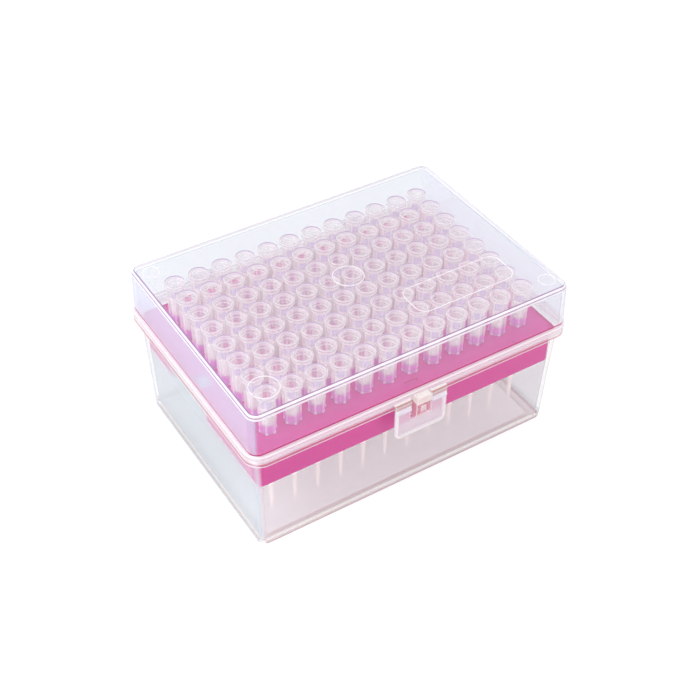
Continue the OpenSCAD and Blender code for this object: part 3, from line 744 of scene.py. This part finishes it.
def tip(bm, plugs, x, y):
    """One tip, stood on the deck with a slight lean, and the plug in it."""
    lean_x, lean_y = random.uniform(-0.007, 0.007), random.uniform(-0.007, 0.007)
    spin = random.uniform(0, 2 * math.pi)
    cos, sin = math.cos(spin), math.sin(spin)

    def placed(mesh, px, py, z):
        down = z - FOOT_UNDER
        return mesh.verts.new(((x + px * cos - py * sin + lean_x * down) * MM,
                               (y + px * sin + py * cos + lean_y * down + MIDDLE) * MM,
                               (TIP_TOP + z) * MM))

    milky = bm.verts.layers.float["milk_and_light"]
    outer, inner = [], []
    for z, gap_r, rib_r, gap_milk_and_light, rib_milk_and_light in OUTSIDE:
        loop = []
        for px, py, crest in tip_ring(gap_r, rib_r):
            loop.append(placed(bm, px, py, z))
            loop[-1][milky] = rib_milk_and_light if crest else gap_milk_and_light
        outer.append(loop)
    for z, r, milk_and_light in INSIDE:
        inner.append([placed(bm, r * math.cos(2 * math.pi * k / INNER_AROUND),
                             r * math.sin(2 * math.pi * k / INNER_AROUND), z) for k in range(INNER_AROUND)])
        for vert in inner[-1]:
            vert[milky] = milk_and_light
    for loops, flip in ((outer, True), (inner, False)):
        for low, high in zip(loops, loops[1:]):
            n = len(low)
            for k in range(n):
                corners = (low[k], low[(k + 1) % n], high[(k + 1) % n], high[k])
                bm.faces.new(corners[::-1] if flip else corners)
    for a, b in ((outer[0], inner[0]), (inner[-1], outer[-1])):
        bmesh.ops.bridge_loops(bm, edges=[bm.edges.get((ring[k], ring[(k + 1) % len(ring)]))
                                          for ring in (a, b) for k in range(len(ring))])

    # The plug, with a slightly rough face and a trace of unevenness round it
    face = random.uniform(-0.12, 0.0)
    rings = [(0.7, PLUG_END), (PLUG_R - 0.15, PLUG_END), (PLUG_R, PLUG_END + 0.15), (PLUG_R, -10.2),
             (PLUG_R, -8.0), (PLUG_R, PLUG_TOP - 0.2), (PLUG_R - 0.15, PLUG_TOP - 0.05 + face),
             (1.3, PLUG_TOP + face), (0.6, PLUG_TOP + face)]
    loops = []
    for r, z in rings:
        loop = []
        for k in range(PLUG_AROUND):
            a = 2 * math.pi * k / PLUG_AROUND
            px = (r - random.uniform(0, 0.04)) * math.cos(a)
            py = (r - random.uniform(0, 0.04)) * math.sin(a)
            sunk = random.uniform(0, 0.06) if r < PLUG_R else 0
            loop.append(placed(plugs, px, py, z - sunk))
        loops.append(loop)
    for low, high in zip(loops, loops[1:]):
        for k in range(PLUG_AROUND):
            n = (k + 1) % PLUG_AROUND
            plugs.faces.new((low[k], low[n], high[n], high[k]))
    plugs.faces.new(loops[0][::-1])
    plugs.faces.new(loops[-1])


def tip_cover(tree, place):
    """The socket, the wall round the plug and the stem are hazier."""
    parts = tree.nodes.new("ShaderNodeSeparateXYZ")
    tree.links.new(place.outputs["Object"], parts.inputs[0])
    stem = maths(tree, "LESS_THAN", parts.outputs["Z"], (TIP_TOP + STEM_TOP) * MM)
    socket = maths(tree, "GREATER_THAN", parts.outputs["Z"], (TIP_TOP - 6.2) * MM)
    core = maths(tree, "COMPARE", parts.outputs["Z"],
                 (TIP_TOP + (PLUG_TOP - 0.1 + PLUG_END) / 2) * MM, (PLUG_TOP - 0.1 - PLUG_END) / 2 * MM)
    return maths(tree, "MULTIPLY_ADD", stem, 0.9,
                 maths(tree, "MULTIPLY_ADD", socket, 0.17, maths(tree, "MULTIPLY", core, 0.25)))


def painted_stem_glow(tree, place):
    """A painted glow on the stems of the front row, beside the tub's front wall."""
    parts = tree.nodes.new("ShaderNodeSeparateXYZ")
    tree.links.new(place.outputs["Object"], parts.inputs[0])
    stem = maths(tree, "LESS_THAN", parts.outputs["Z"], (TIP_TOP + STEM_TOP) * MM)
    front_row = maths(tree, "LESS_THAN", parts.outputs["Y"], (MIDDLE - (ROWS / 2 - 1) * PITCH) * MM)
    return maths(tree, "MULTIPLY", stem, front_row)


# line is the colour of the painted dark lines, the zone tints the socket's lower part magenta as a painted
# reflection of the pink deck, and the stems of the front row get a painted glow
tip_plastic = see_through("tip_plastic", (1.0, 0.95, 0.93), 0.06, 0.5, 0.03, 0.3, 0.12, 0, tip_cover,
                          line=(0.42, 0.12, 0.5),
                          zones=[(TIP_TOP - 17.6, TIP_TOP - 13.5, (0.95, 0.42, 0.88), 0.6)],
                          shade=0.15, deep_below=TIP_TOP + STEM_TOP, far_line=True, lit=painted_stem_glow)
plug_fibre = bpy.data.materials.new("plug_fibre")
plug_fibre.use_nodes = True
tree = plug_fibre.node_tree
body = tree.nodes["Principled BSDF"]
place = tree.nodes.new("ShaderNodeTexCoord")
pores = tree.nodes.new("ShaderNodeTexVoronoi")
pores.inputs["Scale"].default_value = 3500
tree.links.new(place.outputs["Object"], pores.inputs["Vector"])
parts = tree.nodes.new("ShaderNodeSeparateXYZ")
tree.links.new(place.outputs["Object"], parts.inputs[0])
# the plug's top face is darker and purplish, painted shade from the socket's wall
face = maths(tree, "GREATER_THAN", parts.outputs["Z"], (TIP_TOP + PLUG_TOP - 0.2) * MM)
white = blended(tree, pores.outputs["Distance"], (0.84, 0.81, 0.82), (0.95, 0.92, 0.92))
tree.links.new(blended(tree, face, white, (0.5, 0.34, 0.58)), body.inputs["Base Color"])
body.inputs["Roughness"].default_value = 0.9
relief = tree.nodes.new("ShaderNodeBump")
relief.inputs["Strength"].default_value = 0.3
relief.inputs["Distance"].default_value = 0.0002
tree.links.new(pores.outputs["Distance"], relief.inputs["Height"])
tree.links.new(relief.outputs[0], body.inputs["Normal"])
ray = tree.nodes.new("ShaderNodeLightPath")
through = tree.nodes.new("ShaderNodeBsdfTransparent")
porous = tree.nodes.new("ShaderNodeMixShader")
tree.links.new(maths(tree, "MULTIPLY", ray.outputs["Is Shadow Ray"], 0.6), porous.inputs[0])
tree.links.new(body.outputs[0], porous.inputs[1])
tree.links.new(through.outputs[0], porous.inputs[2])
tree.links.new(porous.outputs[0], tree.nodes["Material Output"].inputs["Surface"])
for i in range(COLUMNS):
    bm, plug_bm = bmesh.new(), bmesh.new()
    bm.verts.layers.float.new("milk_and_light")
    for column_number, j, x, y in tip_places():
        if column_number == i:
            tip(bm, plug_bm, x, y)
    for name, mesh, plastic, node, slot in (
            ("tips_%02d", bm, tip_plastic, "tips_column_%d", "tip_plastic"),
            ("plugs_%02d", plug_bm, plug_fibre, "filters_column_%d", "filter_plastic")):
        bmesh.ops.recalc_face_normals(mesh, faces=mesh.faces)
        piece = made(name % (i + 1), mesh)
        piece.data.materials.append(plastic)
        smoothed(piece, 50)
        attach(piece, "base_body")
        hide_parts(node % (i + 1))

# ---------------------------------------------------------------- lid
# The upper half of the box: one clear polypropylene moulding with a rounded
# top edge and a rim that rests on the tub's rim. Its top bears moulded rings.
LID_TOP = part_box("lid")[1].z / MM
lid = walled("lid", [
    (58.0, 61.0, 0.5, 0), (59.8, 61.0, 2.3, 0.8), (60.25, SEAM, 2.3, 0.2), (RIM_X, SEAM, 5.9, 0.35),
    (RIM_X, 45.6, 5.9, 0.9), (61.42, 45.6, 3.5, 0.4), (61.0, LID_TOP, 3.5, 2.0),
    (58.0, LID_TOP, 0.5, 0)],
    # inside of the top edge, foot of the wall, seam, rim's face and top, root of the wall, top edge.
    #  The whiter bands along the edges are painted highlights, partly haze on the rim's face,
    #  and the dark ones are painted shade lines.
    bands=[(1, -0.4, 0.4, 0.3), (2, -0.3, 0.1, 0.35), (3, -0.1, 0.3, 0.7), (3, 0.5, 1.6, 0.45),
           (4, -0.7, -0.35, 0.3), (4, -0.2, 0.55, 0.8), (5, -0.25, 0.2, 0.6), (5, 0.3, 0.75, -1.0),
           (6, -1.55, -0.8, 0.78), (6, -0.7, -0.46, -0.6), (6, -0.38, 0.36, 0.85), (6, 0.45, 0.75, -0.75)],
    steps=6, turns=10, corner_highlight=0.3)
# (x, y, radius) of the rings in the lid's top
MARKS = [(0, 0, 5.35), (-50.75, -32.65, 4.95), (-55.55, 36.55, 2.85), (55.55, -36.55, 2.85)]
PANEL_X, PANEL_Y, PANEL_L, PANEL_W, PANEL_R = 29.2, -22.7, 39.0, 13.5, 3.8
FLAT_X, FLAT_Y = 58.1, 40.2


def bead(bm, path, radius, sides=8):
    """A thin closed cord along a closed path of points, used as a cutter."""
    loops = []
    n = len(path)
    up = Vector((0, 0, 1))
    for k in range(n):
        along = (path[(k + 1) % n] - path[k - 1]).normalized()
        out = along.cross(up)
        loop = []
        for s in range(sides):
            a = 2 * math.pi * s / sides
            spot = path[k] + out * radius * math.cos(a) + up * (radius * math.sin(a))
            loop.append(bm.verts.new(spot * MM))
        loops.append(loop)
    for k in range(n):
        one, two = loops[k], loops[(k + 1) % n]
        for s in range(sides):
            t = (s + 1) % sides
            bm.faces.new((one[s], one[t], two[t], two[s]))


bm = bmesh.new()
for x, y, r in MARKS:
    ring = []
    for k in range(48):
        a = 2 * math.pi * k / 48
        ring.append(Vector((x + r * math.cos(a), y + MIDDLE + r * math.sin(a), LID_TOP)))
    bead(bm, ring, 0.22)
panel = []
for quarter, (sx, sy) in enumerate(((1, 1), (-1, 1), (-1, -1), (1, -1))):
    for k in range(9):
        a = math.pi / 2 * (quarter + k / 8)
        x = PANEL_X + sx * (PANEL_L / 2 - PANEL_R) + PANEL_R * math.cos(a)
        y = PANEL_Y + MIDDLE + sy * (PANEL_W / 2 - PANEL_R) + PANEL_R * math.sin(a)
        panel.append(Vector((x, y, LID_TOP)))
bead(bm, panel, 0.2)
bmesh.ops.recalc_face_normals(bm, faces=bm.faces)
mark_cutter = made("mark_cutter", bm)
# line and upper_line are the colours of the painted dark lines, and ends give the end walls painted window
# light
lid_plastic = see_through("lid_plastic", (0.58, 0.7, 0.8), 0.1, 0.5, 0.03, 0.2, 0.05, 0.01,
                          line=(0.52, 0.02, 0.2), ends=((0.7, 0.74, 0.92), 0.17),
                          zones=[(SEAM - 2, 46.2, (0.84, 0.78, 0.81), 0.0)],
                          upper_line=(LID_TOP - 4, (0.34, 0.15, 0.38)))
mark_plastic = see_through("mark_plastic", (0.97, 0.97, 0.97), 0.8, 0.2, 0.0, 0.3, 0.1)
lid.data.materials.append(lid_plastic)
mark_cutter.data.materials.append(mark_plastic)
cut_away(lid, mark_cutter, keep_finish=True)
# the flat top stays clear up to its rounded edge
for vert in lid.data.vertices:
    if abs(vert.co.x) < FLAT_X * MM and abs(vert.co.y - MIDDLE * MM) < FLAT_Y * MM:
        lid.data.attributes["milk_and_light"].data[vert.index].value = 0.0
smoothed(lid)
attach(lid, "lid_body")
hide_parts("lid")

# ---------------------------------------------------------------- lid clips
# Two open hooks moulded on the lid's back rim. Each snaps over a pin of the
# tub, and its heel meets the rim when the lid is wide open.
BORE, HOOK_R = 1.28, 2.28
MOUTH_FROM, MOUTH_TO = 200, 300
HEEL = math.radians(-21.488)
bm = bmesh.new()
hook = arc(PIN_Y, SEAM, HOOK_R, MOUTH_TO, 360 + MOUTH_FROM, 26)
hook += arc(PIN_Y, SEAM, BORE, 360 + MOUTH_FROM, MOUTH_TO, 22)
heel = [(PIN_Y + u * math.cos(HEEL) - v * math.sin(HEEL), SEAM + u * math.sin(HEEL) + v * math.cos(HEEL))
        for u, v in ((1.5, -0.6), (3.6, -0.6), (3.6, 0.6), (1.5, 0.6))]
arm = [(44.0, 43.5), (44.0, 45.2), (45.2, 45.2), (PIN_Y + 0.4, SEAM + 2.24),
       (PIN_Y - 0.1, SEAM + 1.9), (45.3, 42.95)]
for side in (-1, 1):
    x = side * HINGE_X
    bar(bm, hook, x - 4, x + 4)
    bar(bm, heel, x - 3.5, x + 3.5, 0.15)
    bar(bm, arm, x - 4, x + 4, 0.2)
clips = made("lid_clips", bm)
clips.data.materials.append(lid_plastic)
smoothed(clips)
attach(clips, "lid_body")

# ---------------------------------------------------------------- latch flap
# A flap moulded in one with the lid on a thin living hinge. Its window snaps
# over the catch, and a bead round its edge gives the thumb a grip.
ROLL_Y, ROLL_Z, ROLL_R = -44.9, 43.7, 0.5
FLAP_Y, FLAP_T, FLAP_HALF, FLAP_LOW = -46.0, 1.0, 10.0, 28.5
SHOULDER, WINDOW_HALF, WINDOW_Z, FLAP_R, BEAD_R = 41.8, 4.0, 35.3, 2.4, 0.7
outline = [(LATCH_X - FLAP_HALF, SHOULDER), (LATCH_X - WINDOW_HALF, SHOULDER),
           (LATCH_X - WINDOW_HALF, WINDOW_Z), (LATCH_X + WINDOW_HALF, WINDOW_Z),
           (LATCH_X + WINDOW_HALF, SHOULDER), (LATCH_X + FLAP_HALF, SHOULDER)]
for side, first in ((1, 0), (-1, 1)):
    for k in range(7):
        a = -math.pi / 2 * (first + k / 6)
        outline.append((LATCH_X + side * (FLAP_HALF - FLAP_R) + FLAP_R * math.cos(a),
                        FLAP_LOW + FLAP_R + FLAP_R * math.sin(a)))
bm = bmesh.new()
sheets = [[bm.verts.new((x * MM, (y + MIDDLE) * MM, z * MM)) for x, z in outline]
          for y in (FLAP_Y, FLAP_Y + FLAP_T)]
faces = [bm.faces.new(sheets[0]), bm.faces.new(sheets[1][::-1])]
for i in range(len(outline)):
    j = (i + 1) % len(outline)
    faces.append(bm.faces.new((sheets[0][i], sheets[1][i], sheets[1][j], sheets[0][j])))
bmesh.ops.recalc_face_normals(bm, faces=faces)
crisp = dict.fromkeys(e for f in faces for e in f.edges if e.calc_face_angle(0) > 0.5)
bmesh.ops.bevel(bm, geom=list(crisp), offset=0.2 * MM, segments=2, profile=0.5, affect="EDGES", material=1)
fold_bm, roll_bm = bmesh.new(), bmesh.new()
for side in (-1, 1):
    ends = sorted((LATCH_X + side * WINDOW_HALF, LATCH_X + side * FLAP_HALF))
    before = len(bm.faces)
    bar(bm, [(FLAP_Y + 0.3, 39.2)] + arc(FLAP_Y + 1.1, 40.3, 1.5, 220, 140, 8) + [(FLAP_Y + 0.3, 41.4)],
        ends[0] + 0.15, ends[1] - 0.15, 0.1)
    bm.faces.ensure_lookup_table()
    for face in bm.faces[before:]:
        face.material_index = 2
    bar(fold_bm, [(FLAP_Y, SHOULDER - 0.3), (FLAP_Y + FLAP_T, SHOULDER - 0.3), (ROLL_Y, ROLL_Z - 0.45),
                  (ROLL_Y, ROLL_Z), (ROLL_Y - 0.26, ROLL_Z + 0.1), (FLAP_Y + 0.25, ROLL_Z - 0.5),
                  (FLAP_Y, ROLL_Z - 1.0)], *ends, 0.12, finish=1)
    bar(roll_bm, arc(ROLL_Y, ROLL_Z, ROLL_R, 0, 340, 17), *ends)
trail = [Vector((LATCH_X - FLAP_HALF + BEAD_R, 0, SHOULDER - 0.2))]
for side, first in ((-1, math.pi), (1, 1.5 * math.pi)):
    for k in range(9):
        a = first + math.pi / 2 * k / 8
        trail.append(Vector((LATCH_X + side * (FLAP_HALF - FLAP_R) + (FLAP_R - BEAD_R) * math.cos(a), 0,
                             FLAP_LOW + FLAP_R + (FLAP_R - BEAD_R) * math.sin(a))))
trail.append(Vector((LATCH_X + FLAP_HALF - BEAD_R, 0, SHOULDER - 0.2)))
rings = []
depth = Vector((0, 1, 0))
for k, at in enumerate(trail):
    along = (trail[min(k + 1, len(trail) - 1)] - trail[max(k - 1, 0)]).normalized()
    out = along.cross(depth)
    centre = at + Vector((0, FLAP_Y + FLAP_T / 2 + MIDDLE, 0))
    ring = []
    for s in range(14):
        a = 2 * math.pi * s / 14
        spot = centre + out * BEAD_R * math.cos(a) + depth * (BEAD_R * math.sin(a))
        ring.append(bm.verts.new(spot * MM))
    rings.append(ring)
tube = [bm.faces.new(rings[0]), bm.faces.new(rings[-1][::-1])]
for one, two in zip(rings, rings[1:]):
    for s in range(14):
        t = (s + 1) % 14
        tube.append(bm.faces.new((one[s], two[s], two[t], one[t])))
bmesh.ops.recalc_face_normals(bm, faces=tube)
for face in tube:
    face.material_index = 1
latch = made("latch", bm)
flap_plastic = see_through("flap_plastic", (0.95, 0.9, 0.96), 0.22, 0.45, 0.04, 0.25, 0.08)
# the flap's bulges are whiter and mottled, a painted highlight on their rounded bend
bulge_highlight_plastic = see_through("bulge_highlight_plastic", (0.93, 0.95, 1.0), 0.6, 0.2, 0.2, 0.2, 0.1, 0.3)
# the two brownish bands are painted shade in the hinge's grooves
fold_plastic = see_through("fold_plastic", (0.95, 0.92, 0.92), 0.45, 0.3, 0.1, 0.3, 0.1,
                           zones=[(41.9, 42.6, (0.6, 0.34, 0.3), 0.2),
                                  (43.15, 43.6, (0.6, 0.34, 0.3), 0.2)])
latch.data.materials.append(flap_plastic)
latch.data.materials.append(edge_highlight_plastic)
latch.data.materials.append(bulge_highlight_plastic)
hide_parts("latch_flap")
fold = made("latch_fold", fold_bm)
fold.data.materials.append(fold_plastic)
fold.data.materials.append(edge_highlight_plastic)
roll = made("latch_roll", roll_bm)
roll.data.materials.append(edge_highlight_plastic)
for piece in (latch, fold, roll):
    smoothed(piece)
    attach(piece, "latch_body")
